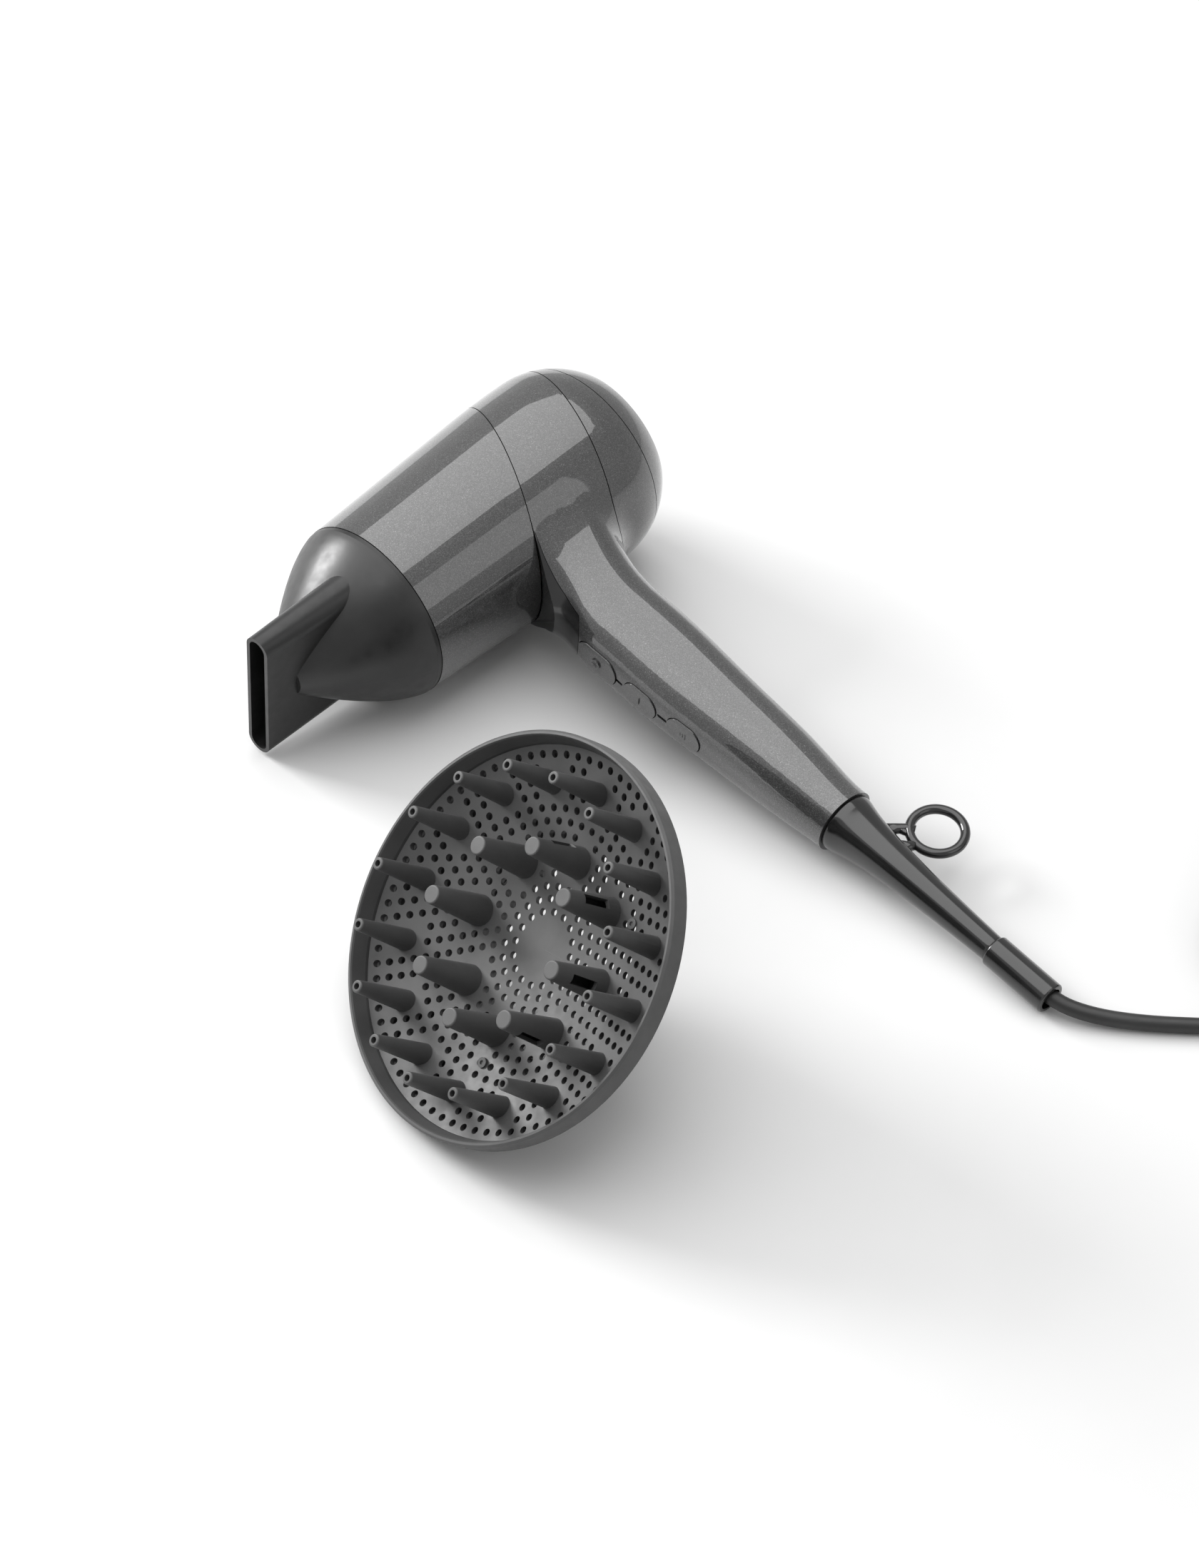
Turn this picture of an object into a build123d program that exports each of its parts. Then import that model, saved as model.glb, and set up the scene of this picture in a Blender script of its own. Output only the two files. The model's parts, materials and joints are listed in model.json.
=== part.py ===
from build123d import *
from math import cos, hypot, pi, radians, sin, tan
import os

# Hand-held hair dryer lying on its side, with its concentrator nozzle fitted and its diffuser
# standing beside it. Millimetres. Every dryer piece is drawn in the dryer's own frame:
# X runs down the handle, Y runs rearward along the air path, Z points to the left side,
# and the origin is the centre of the air outlet. Every diffuser piece is drawn in the diffuser's
# own frame: Z is its axis, towards the fingertips, and the origin is the centre of its front rim.
# save() lays both in the resting place, where Z is up and the table is Z = 0.

os.makedirs("parts", exist_ok=True)

# ---- Driving dimensions: body -----------------------------------------------------------
wall = 2.2                      # casing wall
gap = 0.2                       # half of the visible gap at a casing joint
outlet_radius = 37.0            # front end of the barrel
shoulder_radius, shoulder_y = 40.9, 75.0   # end of the barrel's straight taper
crown_radius, crown_y = 41.3, 102.0        # where the rounding of the rear end starts
rear_radius, rear_y = 31.1, 126.0          # flat rear end
front_seam_y, front_seam_slope = 68.0, -0.452    # barrel to housing joint, measured at X = 0
rear_seam_y, rear_seam_slope = 102.2, -0.3       # housing to rear cap joint
filter_seam_y = 114.5           # rear cap to filter cover joint
everywhere = 400.0              # reach of the blocks that cut a form in two

# ---- Driving dimensions: handle ---------------------------------------------------------
# Stations down the handle: X, centre Y, half depth along Y, half width along Z, and the corner
# radius as a share of the smaller half size.
handle_stations = [
    (13.0, 69.0, 21.0, 33.0, 0.50),
    (24.0, 68.8, 21.6, 30.4, 0.56),
    (34.0, 68.3, 20.2, 25.4, 0.60),
    (46.0, 67.0, 18.2, 20.4, 0.70),
    (60.0, 63.5, 18.2, 17.3, 0.76),
    (78.0, 60.9, 18.6, 16.3, 0.78),
    (98.0, 59.5, 18.5, 15.9, 0.78),
    (120.0, 58.0, 17.4, 15.3, 0.80),
    (144.0, 56.8, 16.1, 14.9, 0.84),
    (168.0, 55.3, 14.7, 14.0, 0.90),
    (194.0, 53.9, 13.0, 13.0, 0.97),
]
handle_end = 192.0
root_radius = 18.0              # where the handle flows into the housing
boot_tilt = 3.4                 # the cord boot leans forward of the handle's X axis, degrees

# ---- Driving dimensions: buttons --------------------------------------------------------
button_travel = 1.2
button_proud = 0.5
button_gap = 0.3
buttons = {                     # name: X of its centre, length down the handle, width
    "cool_shot_button": (76.5, 21.0, 12.0),
    "heat_button": (100.3, 17.0, 11.0),
    "speed_button": (123.0, 16.5, 11.0),
}
board_y, board_thickness = 52.0, 1.6
plunger_radius, plunger_length = 1.6, 3.0
switch_height, switch_side = 4.0, 6.0

# ---- Driving dimensions: nozzle ---------------------------------------------------------
hood_radius, hood_depth = 36.8, 46.0
blade_reach = 60.3              # from the outlet to the slot
blade_width, blade_thickness = 64.0, 11.0
blade_root_width, blade_root_thickness = 62.0, 15.0
nozzle_wall = 1.6
nozzle_gap = 0.3                # between the hood and the barrel's front end
neck_radius, neck_length = 33.4, 8.0

# ---- Driving dimensions: air path -------------------------------------------------------
grille_y = 10.0
heater_start, heater_end = 16.0, 70.0
liner_radius = 33.2
motor_radius, motor_start, motor_end = 15.5, 77.0, 99.0
shaft_radius = 1.6
fan_start, fan_end = 101.0, 109.0

# ---- Driving dimensions: diffuser -------------------------------------------------------
rim_radius, rim_band = 74.2, 7.5
neck_outer, neck_inner = 41.0, 38.2
diffuser_depth = 41.6
plate_thickness = 1.8
outer_ring, outer_tip_z = 57.9, 13.6
inner_ring, inner_tip_z = 33.0, 8.1

# ---- Driving dimensions: cord and plug --------------------------------------------------
cord_radius = 3.0
boot_length = 92.0              # from the handle's end to the boot's end, inside the collar
collar_start, collar_end, collar_radius = 77.0, 105.6, 6.2
coil_inner, coil_outer, coil_height = 26.5, 44.5, 18.1
pin_radius, pin_length, pin_pitch = 2.4, 19.0, 19.0

# ---- Resting place on the table ---------------------------------------------------------
outlet_x, outlet_y, outlet_z = -127.43, 12.02, 37.05
rest_pitch, rest_roll = 3.0, 6.4           # the taper lies flat, and the cord collar touches
diffuser_x, diffuser_y, diffuser_z = 41.27, -86.28, 58.86
diffuser_turn, diffuser_lean, diffuser_twist = -17.2, 46.2, 17.4

dryer_rest = Pos(outlet_x, outlet_y, outlet_z) * Rot(rest_pitch, rest_roll, 0)
diffuser_rest = (
    Pos(diffuser_x, diffuser_y, diffuser_z)
    * Rot(0, 0, diffuser_turn) * Rot(diffuser_lean, 0, 0) * Rot(0, 0, diffuser_twist)
)
as_drawn = Location()


def save(piece, name, place):
    """Lay a finished piece in its resting place, label it and write it."""
    laid = piece.part.moved(place)
    laid.label = name
    export_step(laid, f"parts/{name}.step")


def across_y(y):
    """Plane across the air path at y, its own axes along X and -Z, facing rearward."""
    return Plane(origin=(0, y, 0), x_dir=(1, 0, 0), z_dir=(0, 1, 0))


def ring_part(start, end, outer, inner=0.0):
    """Plain ring or disc around the air path."""
    with BuildPart() as ring:
        with BuildSketch(across_y(start)):
            Circle(outer)
            if inner:
                Circle(inner, mode=Mode.SUBTRACT)
        extrude(amount=end - start)
    return ring.part


# ---- Body and handle forms, shared by the casing pieces ---------------------------------
def body_form(inset=0.0):
    """Solid of revolution of the barrel and housing, drawn inset from the outside."""
    with BuildPart() as form:
        with BuildSketch(Plane.XY):
            with BuildLine():
                face = Line((0, 0), (outlet_radius - inset, 0))
                taper = Line(face @ 1, (shoulder_radius - inset, shoulder_y))
                crown = TangentArc(taper @ 1, (crown_radius - inset, crown_y), tangent=taper % 1)
                rear_edge = (rear_radius - inset * 0.7, rear_y - inset)
                rear = TangentArc(crown @ 1, rear_edge, tangent=crown % 1)
                back = Line(rear @ 1, (0, rear_y - inset))
                Line(back @ 1, (0, 0))
            make_face()
        revolve(axis=Axis.Y)
    return form.part


def handle_form(inset=0.0):
    """Solid handle lofted through its stations, drawn inset from the outside."""
    with BuildPart() as form:
        for x, y, depth, width, roundness in handle_stations:
            with BuildSketch(Plane(origin=(x, y, 0), x_dir=(0, 1, 0), z_dir=(1, 0, 0))):
                RectangleRounded(2 * (depth - inset), 2 * (width - inset),
                                 roundness * (min(depth, width) - inset))
        loft()
    return form.part


def seam_plane(y, slope, shift=0.0):
    """Joint plane that crosses the air path at y and leans forward down the handle."""
    return Plane(origin=(0, y + shift, 0), z_dir=(-slope, 1, 0))


def side_block(points, reach=everywhere, start=0.0):
    """Block whose outline is drawn in the side view, reaching from start to both sides."""
    with BuildPart() as block:
        with BuildSketch(Plane.XY.offset(start)):
            with BuildLine():
                Polyline(*points, close=True)
            make_face()
        extrude(amount=reach, both=start == 0.0)
    return block.part


def rear_block(shift):
    """Block behind the housing to rear cap joint, which ends at the handle's back."""
    joint_line = [(x, rear_seam_y + rear_seam_slope * x + shift) for x in (-60.0, 46.0)]
    return side_block(joint_line + [(50.0, 150.0), (-60.0, 150.0)])


def button_block(x, length, width, extra):
    """Round-ended block along the button's travel, larger than the button by extra."""
    with BuildPart() as block:
        with BuildSketch(Plane(origin=(x, 28, 0), x_dir=(1, 0, 0), z_dir=(0, 1, 0))):
            SlotOverall(length + 2 * extra, width + 2 * extra)
        extrude(amount=20)
    return block.part


# The boot's own axis starts at the handle's end face, which is square to it.
boot_plane = Plane(
    origin=(handle_end, 54.0, 0),
    x_dir=(cos(radians(boot_tilt)), -sin(radians(boot_tilt)), 0),
    z_dir=(0, 0, 1))
boot_axis = Axis(boot_plane.origin, boot_plane.x_dir)
handle_end_face = Plane(origin=boot_plane.origin, z_dir=boot_plane.x_dir)

body_outer, body_inner = body_form(), body_form(wall)
handle_outer, handle_inner = handle_form(), handle_form(wall)

with BuildPart() as outer_form:
    add(body_outer)
    add(handle_outer)
    root_edges = [
        edge for edge in outer_form.edges()
        if edge.geom_type == GeomType.BSPLINE and max((edge @ 0).X, (edge @ 1).X) < 46
    ]
    fillet(root_edges, radius=root_radius)

# The insert fills the throat, in front of a line from the barrel to the handle's front face.
throat_line = [(30.0, 54.8), (38.0, 52.4), (52.0, 49.6), (62.0, 46.8), (66.0, 43.0), (67.0, 38.0)]
insert_zone = side_block(throat_line + [(67, 20), (30, 20)])
insert_clear = side_block([(x, y + gap) for x, y in throat_line] + [(67.3, 20), (30, 20)])
strip_half_width, strip_depth = 3.6, 1.2
strip_outline = [(70, 70), (188, 60), (188, 90), (70, 100)]
strip_zone = side_block(strip_outline, strip_half_width)
strip_clear = side_block(strip_outline, strip_half_width + 0.1)
boss_places, boss_height = [(146.0, 56.0), (170.0, 54.8)], 13.2
slot_places = [88.2, 112.0]     # short slots in the front seam, between the buttons


# ---- Barrel -----------------------------------------------------------------------------
with BuildPart() as barrel_front:
    add(body_outer)
    add(body_inner, mode=Mode.SUBTRACT)
    split(bisect_by=seam_plane(front_seam_y, front_seam_slope, -gap), keep=Keep.BOTTOM)
save(barrel_front, "barrel_front", dryer_rest)

grille_radius = 34.9
with BuildPart() as outlet_grille:
    with BuildSketch(across_y(grille_y)):
        for radius in (grille_radius, 25.5, 16.5, 7.5):
            Circle(radius)
            Circle(radius - 1.6, mode=Mode.SUBTRACT)
        with PolarLocations((grille_radius + 1) / 2, 6):
            Rectangle(grille_radius - 3, 1.6)
    extrude(amount=3)
    with BuildSketch(across_y(grille_y)):
        Circle(grille_radius)
        Circle(grille_radius - 1.6, mode=Mode.SUBTRACT)
    extrude(amount=heater_start - grille_y)
save(outlet_grille, "outlet_grille", dryer_rest)

with BuildPart() as mica_tube:
    add(ring_part(heater_start, heater_end, liner_radius + 1.0, liner_radius))
save(mica_tube, "mica_tube", dryer_rest)

coil_wire = 0.9
coil_rings = [(radius, y) for radius in (27.0, 14.0) for y in range(23, 62, 6)]
with BuildPart() as heater_coils:
    with BuildSketch(Plane.XY):
        for radius, y in coil_rings:
            with Locations((radius, y)):
                Circle(coil_wire)
    revolve(axis=Axis.Y)
save(heater_coils, "heater_coils", dryer_rest)

with BuildPart() as mica_cross:
    for board_plane in (Plane.XY, Plane.ZY):
        with BuildSketch(board_plane):
            with Locations((0, (heater_start + heater_end) / 2)):
                Rectangle(2 * liner_radius - 1, heater_end - heater_start - 4)
        extrude(amount=0.4, both=True)
    with BuildSketch(Plane.XY):
        for radius, y in coil_rings:
            with Locations((radius, y)):
                Circle(coil_wire + 0.15)
    revolve(axis=Axis.Y, mode=Mode.SUBTRACT)
save(mica_cross, "mica_cross", dryer_rest)

with BuildPart() as thermal_cutout:
    with BuildSketch(Plane.XY.offset(0.4)):
        with Locations((20.5, 64.0)):
            Rectangle(9, 6)
    extrude(amount=4)
    fillet(thermal_cutout.edges().filter_by(Axis.Z), radius=1)
save(thermal_cutout, "thermal_cutout", dryer_rest)

# ---- Motor and fan ----------------------------------------------------------------------
duct_outer, duct_inner, sleeve_radius = 37.6, 35.6, 17.0
with BuildPart() as stator_duct:
    add(ring_part(heater_end, 104, duct_outer, duct_inner))
    add(ring_part(motor_start - 4, motor_end, sleeve_radius + 1.6, sleeve_radius))
    with BuildSketch(across_y(motor_start)):
        with PolarLocations((duct_inner + sleeve_radius + 1.6) / 2, 9):
            Rectangle(duct_inner - sleeve_radius - 0.6, 1.4)
    extrude(amount=16)
save(stator_duct, "stator_duct", dryer_rest)

with BuildPart() as motor_mount:
    add(ring_part(motor_start, motor_end, sleeve_radius, motor_radius))
    add(ring_part(motor_start - 2, motor_start, sleeve_radius, 9))
save(motor_mount, "motor_mount", dryer_rest)

with BuildPart() as motor_can:
    add(ring_part(motor_start, motor_end, motor_radius, 13.5))
    add(ring_part(motor_start, motor_start + 1.5, motor_radius, shaft_radius + 0.05))
    add(ring_part(motor_end - 1.5, motor_end, motor_radius, shaft_radius + 0.05))
save(motor_can, "motor_can", dryer_rest)

with BuildPart() as rotor_shaft:
    add(ring_part(motor_start - 1.5, fan_end + 2.8, shaft_radius))
save(rotor_shaft, "rotor_shaft", dryer_rest)

with BuildPart() as armature:
    add(ring_part(motor_start + 4, motor_end - 4, 12.0, shaft_radius))
    with BuildSketch(across_y(motor_start + 4)):
        with PolarLocations(12.0, 5):
            Rectangle(5, 2.4)
    extrude(amount=motor_end - motor_start - 8, mode=Mode.SUBTRACT)
save(armature, "armature", dryer_rest)

blade_count, blade_pitch = 7, 32.0
with BuildPart() as fan_wheel:
    add(ring_part(fan_start, fan_end, 13.0, shaft_radius))
    with Locations(*[
        Location((22.5 * cos(turn), (fan_start + fan_end) / 2, 22.5 * sin(turn)),
                 (0, -turn * 180 / pi, 0)) * Rot(blade_pitch, 0, 0)
        for turn in [2 * pi * index / blade_count for index in range(blade_count)]
    ]):
        Box(21, 1.2, 10.5)
save(fan_wheel, "fan_wheel", dryer_rest)

with BuildPart() as fan_nut:
    with BuildSketch(across_y(fan_end)):
        RegularPolygon(3.4, 6)
        Circle(shaft_radius, mode=Mode.SUBTRACT)
    extrude(amount=2.6)
save(fan_nut, "fan_nut", dryer_rest)

# ---- Rear cap, guard and removable filter cover -----------------------------------------
with BuildPart() as rear_cap:
    add(outer_form.part)
    add(body_inner, mode=Mode.SUBTRACT)
    add(handle_inner, mode=Mode.SUBTRACT)
    add(rear_block(gap), mode=Mode.INTERSECT)
    split(bisect_by=seam_plane(filter_seam_y, 0, -gap), keep=Keep.BOTTOM)
save(rear_cap, "rear_cap", dryer_rest)

guard_y = 112.0
with BuildPart() as intake_guard:
    with BuildSketch(across_y(guard_y)):
        for radius in (35.6, 27.0, 18.0, 9.0):
            Circle(radius)
            Circle(radius - 1.4, mode=Mode.SUBTRACT)
        with PolarLocations(18.5, 8):
            Rectangle(33, 1.4)
        Circle(4)
    extrude(amount=1.6)
    add(body_form(wall + 0.1), mode=Mode.INTERSECT)
save(intake_guard, "intake_guard", dryer_rest)

with BuildPart() as filter_cover:
    add(body_outer)
    add(body_inner, mode=Mode.SUBTRACT)
    split(bisect_by=seam_plane(filter_seam_y, 0, gap), keep=Keep.TOP)
    for ring_radius, hole_count in ((8, 8), (13, 14), (18, 20), (23, 26), (28, 32)):
        with BuildSketch(across_y(rear_y - 6)):
            with PolarLocations(ring_radius, hole_count):
                Circle(1.5)
        extrude(amount=8, mode=Mode.SUBTRACT)
save(filter_cover, "filter_cover", dryer_rest)

mesh_y, mesh_radius, mesh_step = 121.6, 29.6, 3.0
with BuildPart() as filter_mesh:
    with BuildSketch(across_y(mesh_y)):
        Circle(mesh_radius)
        Circle(mesh_radius - 2, mode=Mode.SUBTRACT)
        for offset_steps in range(-9, 10):
            with Locations((0, offset_steps * mesh_step)):
                Rectangle(2 * mesh_radius - 2, 0.7)
            with Locations((offset_steps * mesh_step, 0)):
                Rectangle(0.7, 2 * mesh_radius - 2)
        Circle(mesh_radius, mode=Mode.INTERSECT)
    extrude(amount=0.9)
save(filter_mesh, "filter_mesh", dryer_rest)


# ---- Handle shells ----------------------------------------------------------------------
def casing():
    """Housing band and handle as one hollow form, before it is cut into its two shells."""
    with BuildPart() as form:
        add(outer_form.part)
        add(rear_block(-gap), mode=Mode.SUBTRACT)
        split(bisect_by=seam_plane(front_seam_y, front_seam_slope, gap), keep=Keep.TOP)
        split(bisect_by=handle_end_face, keep=Keep.BOTTOM)
        add(body_inner, mode=Mode.SUBTRACT)
        add(handle_inner, mode=Mode.SUBTRACT)
    return form.part


casing_form = casing()


def handle_shell(side):
    """One half of the casing: side is 1 for the left half and -1 for the right half."""
    with BuildPart() as shell:
        add(casing_form)
        add(insert_clear, mode=Mode.SUBTRACT)
        add(strip_clear, mode=Mode.SUBTRACT)
        with BuildSketch(Plane.XY):
            with Locations(*boss_places):
                Circle(3.6)
        extrude(amount=side * boss_height)
        for x, length, width in buttons.values():
            add(button_block(x, length, width, button_gap), mode=Mode.SUBTRACT)
        with BuildSketch(Plane(origin=(0, 28, 0), x_dir=(1, 0, 0), z_dir=(0, 1, 0))):
            with Locations(*[(x, 0) for x in slot_places]):
                SlotOverall(5.0, 1.4)
        extrude(amount=16, mode=Mode.SUBTRACT)
        split(bisect_by=Plane.XY, keep=Keep.TOP if side > 0 else Keep.BOTTOM)
    return shell


with BuildPart() as handle_shell_left:
    add(handle_shell(1).part)
    with BuildSketch(Plane.XY):
        with Locations(*boss_places):
            Circle(1.2)
    extrude(amount=9, mode=Mode.SUBTRACT)
save(handle_shell_left, "handle_shell_left", dryer_rest)

with BuildPart() as handle_shell_right:
    add(handle_shell(-1).part)
    with BuildSketch(Plane.XY):
        with Locations(*boss_places):
            Circle(1.6)
    extrude(amount=-20, mode=Mode.SUBTRACT)
    with BuildSketch(Plane.XY.offset(-8)):
        with Locations(*boss_places):
            Circle(2.8)
    extrude(amount=-12, mode=Mode.SUBTRACT)
save(handle_shell_right, "handle_shell_right", dryer_rest)

with BuildPart() as shell_screws:
    with BuildSketch(Plane.XY.offset(-8)):
        with Locations(*boss_places):
            Circle(1.2)
    extrude(amount=16)
    with BuildSketch(Plane.XY.offset(-8)):
        with Locations(*boss_places):
            Circle(2.6)
    extrude(amount=-1.8)
    with BuildSketch(Plane.XY.offset(-9.8)):
        with Locations(*boss_places):
            Rectangle(3.4, 0.7)
            Rectangle(0.7, 3.4)
    extrude(amount=0.9, mode=Mode.SUBTRACT)
save(shell_screws, "shell_screws", dryer_rest)

with BuildPart() as throat_insert:
    add(casing_form)
    add(insert_zone, mode=Mode.INTERSECT)
save(throat_insert, "throat_insert", dryer_rest)

with BuildPart() as back_strip:
    add(handle_form(-0.3))
    add(handle_form(strip_depth), mode=Mode.SUBTRACT)
    add(strip_zone, mode=Mode.INTERSECT)
save(back_strip, "back_strip", dryer_rest)

# ---- Buttons and switches ---------------------------------------------------------------
button_skin_outer, button_skin_inner = handle_form(-button_proud), handle_form(2.0)
stem_end = board_y - switch_height - button_travel - 0.6
for name, (x, length, width) in buttons.items():
    with BuildPart() as button:
        add(button_skin_outer)
        add(button_skin_inner, mode=Mode.SUBTRACT)
        add(button_block(x, length, width, 0), mode=Mode.INTERSECT)
        with BuildSketch(across_y(stem_end)):
            with Locations((x, 0)):
                Circle(2.2)
        extrude(amount=-5)
    save(button, name, dryer_rest)

    with BuildPart() as plunger:
        with BuildSketch(across_y(stem_end)):
            with Locations((x, 0)):
                Circle(plunger_radius)
        extrude(amount=plunger_length)
    save(plunger, name.replace("button", "plunger"), dryer_rest)

with BuildPart() as switch_board:
    with BuildSketch(across_y(board_y)):
        with Locations((100, 0)):
            Rectangle(70, 18)
    extrude(amount=board_thickness)
save(switch_board, "switch_board", dryer_rest)

with BuildPart() as switch_housings:
    with BuildSketch(across_y(board_y - switch_height)):
        for x, length, width in buttons.values():
            with Locations((x, 0)):
                Rectangle(switch_side, switch_side)
                Circle(plunger_radius + 0.06, mode=Mode.SUBTRACT)
    extrude(amount=switch_height)
save(switch_housings, "switch_housings", dryer_rest)

with BuildPart() as lead_wires:
    for z in (-3.0, 0.0, 3.0):
        with BuildLine():
            wire = FilletPolyline((132, 55.5, z), (140, 63.8, z), (173, 62.6, z), (180.0, 58.0, z),
                                  radius=7)
        with BuildSketch(Plane(origin=wire @ 0, z_dir=wire % 0)):
            Circle(1.1)
        sweep()
save(lead_wires, "lead_wires", dryer_rest)

with BuildPart() as cord_clamp:
    with BuildSketch(Plane.YZ.offset(181)):
        with Locations((54.5, 0)):
            Rectangle(14, 10)
    extrude(amount=3.5)
save(cord_clamp, "cord_clamp", dryer_rest)

# ---- Cord boot, collar and hanging loop -------------------------------------------------

with BuildPart() as cord_boot:
    with BuildSketch(boot_plane):
        with BuildLine():
            Polyline((-6.5, 0), (-6.5, 8.0), (0.1, 8.0), (0.1, 12.0), (3.5, 11.8))
            Spline((3.5, 11.8), (28, 7.9), (collar_start, 5.2), tangents=[(1, -0.12), (1, -0.05)])
            Polyline((collar_start, 5.2), (collar_start, 4.4), (boot_length, 4.4), (boot_length, 0))
            Line((boot_length, 0), (-6.5, 0))
        make_face()
    revolve(axis=boot_axis)
save(cord_boot, "cord_boot", dryer_rest)

with BuildPart() as cord_collar:
    with BuildSketch(boot_plane):
        with Locations(((collar_start + collar_end) / 2, (collar_radius + 4.45) / 2)):
            Rectangle(collar_end - collar_start, collar_radius - 4.45)
    revolve(axis=boot_axis)
    outer_rims = cord_collar.edges().filter_by(GeomType.CIRCLE).sort_by(SortBy.RADIUS)[-2:]
    fillet(outer_rims, radius=0.8)
save(cord_collar, "cord_collar", dryer_rest)

loop_centre, loop_radius, loop_wire = (219.0, 75.2), 10.3, 1.9
with BuildPart() as hanging_loop:
    with BuildSketch(Plane.XY):
        with BuildLine():
            Polyline((203.0, 62.5), (208.8, 68.6), (213.5, 69.5), (219.5, 66.5), (221.0, 60.0),
                     (214.0, 57.5), close=True)
        make_face()
        with Locations(loop_centre):
            Circle(loop_radius + loop_wire)
        with Locations(loop_centre):
            Circle(loop_radius - loop_wire, mode=Mode.SUBTRACT)
        with BuildLine():
            Polyline((209.4, 62.6), (213.2, 66.4), (216.6, 63.6), (213.4, 60.9), close=True)
        make_face(mode=Mode.SUBTRACT)
    extrude(amount=loop_wire, both=True)
    add(cord_boot.part, mode=Mode.SUBTRACT)
save(hanging_loop, "hanging_loop", dryer_rest)


# ---- Concentrator nozzle ----------------------------------------------------------------
def nozzle_form(inset=0.0):
    """Domed hood with a flat blade through it, drawn inset from the outside."""
    with BuildPart() as form:
        with BuildSketch(Plane.XY):
            with BuildLine():
                base = Line((0, -nozzle_gap), (hood_radius - inset, -nozzle_gap))
                skirt = Line(base @ 1, (hood_radius - inset, -2.0))
                tip = (8.0 - inset, -hood_depth + 0.7 * inset)
                dome = Bezier(skirt @ 1, (34.5 - inset, -12), (24 - inset, -28 + 0.3 * inset), tip)
                front = Line(dome @ 1, (0, -hood_depth + 0.7 * inset))
                Line(front @ 1, (0, -nozzle_gap))
            make_face()
        revolve(axis=Axis.Y)
        with BuildSketch(Plane(origin=(0, -12, 0), x_dir=(0, 0, 1), z_dir=(0, -1, 0))):
            SlotOverall(blade_root_width - 2 * inset, blade_root_thickness - 2 * inset)
        tip_plane = Plane(origin=(0, -blade_reach, 0), x_dir=(0, 0, 1), z_dir=(0, -1, 0))
        with BuildSketch(tip_plane):
            SlotOverall(blade_width - 2 * inset, blade_thickness - 2 * inset)
        loft()
    return form.part


with BuildPart() as nozzle:
    add(nozzle_form())
    add(nozzle_form(nozzle_wall), mode=Mode.SUBTRACT)
    add(ring_part(-2.5, -nozzle_gap, hood_radius - 1, neck_radius - nozzle_wall))
    add(ring_part(-2.5, neck_length, neck_radius, neck_radius - nozzle_wall))
save(nozzle, "nozzle", dryer_rest)

with BuildPart() as nozzle_snap_ring:
    add(ring_part(1.5, 7.0, neck_radius + 1.0, neck_radius + 0.05))
save(nozzle_snap_ring, "nozzle_snap_ring", dryer_rest)

# ---- Diffuser ---------------------------------------------------------------------------
plate_rise, plate_edge, plate_middle = 70.6, -7.2, -20.5


def plate_arc(radius, drop=0.0):
    """Height of the dished plate's front face at a radius."""
    return plate_middle + (plate_edge - plate_middle) * (radius / plate_rise) ** 2 - drop


with BuildPart() as diffuser_bowl:
    with BuildSketch(Plane.XZ):
        with BuildLine():
            outside = Polyline((rim_radius - 0.8, 0), (rim_radius, -0.8), (rim_radius, -rim_band),
                               (rim_radius - 2.6, -rim_band - 0.5), (rim_radius - 4.4, -10.5))
            back = Spline(outside @ 1, (61.5, -20.2), (46, -26.5), tangents=[(-0.5, -1), (-1, -0.2)])
            throat = Polyline(back @ 1, (42.6, -27.2), (42.6, -31), (40.7, -31), (40.7, -25.5),
                              (45.6, -24.6))
            inside = Spline(throat @ 1, (60.2, -18.6), (68.0, -10.3), tangents=[(1, 0.2), (0.5, 1)])
            Polyline(inside @ 1, (rim_radius - 3.5, -9.1), (rim_radius - 3.5, -6.0),
                     (rim_radius - 2.0, -0.6), (rim_radius - 1.6, 0), outside @ 0)
        make_face()
    revolve(axis=Axis.Z)
save(diffuser_bowl, "diffuser_bowl", diffuser_rest)

with BuildPart() as diffuser_collar:
    with BuildSketch(Plane.XY.offset(-diffuser_depth)):
        Circle(neck_outer)
        Circle(neck_inner, mode=Mode.SUBTRACT)
    extrude(amount=diffuser_depth - 31.0)
    with BuildSketch(Plane.XY.offset(-31.0)):
        Circle(40.6)
        Circle(neck_inner, mode=Mode.SUBTRACT)
    extrude(amount=4)
save(diffuser_collar, "diffuser_collar", diffuser_rest)

finger_rings = {                # name: count, ring radius, base radius, tip radius, tip height
    "diffuser_outer_fingers": (16, outer_ring, 4.9, 2.3, outer_tip_z),
    "diffuser_inner_fingers": (8, inner_ring, 6.3, 3.4, inner_tip_z),
}


def around(ring_radius, count, part_of_step=0.0):
    """Points evenly spaced around the diffuser's axis."""
    turns = [2 * pi * (index + part_of_step) / count for index in range(count)]
    return [(ring_radius * cos(turn), ring_radius * sin(turn)) for turn in turns]


def clear_of_fingers(x, y):
    """Whether a plate hole at this point misses every finger's foot."""
    return all(
        hypot(x - foot_x, y - foot_y) > base_radius + hole_radius + 0.5
        for count, ring_radius, base_radius, tip_radius, tip_z in finger_rings.values()
        for foot_x, foot_y in around(ring_radius, count))


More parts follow.
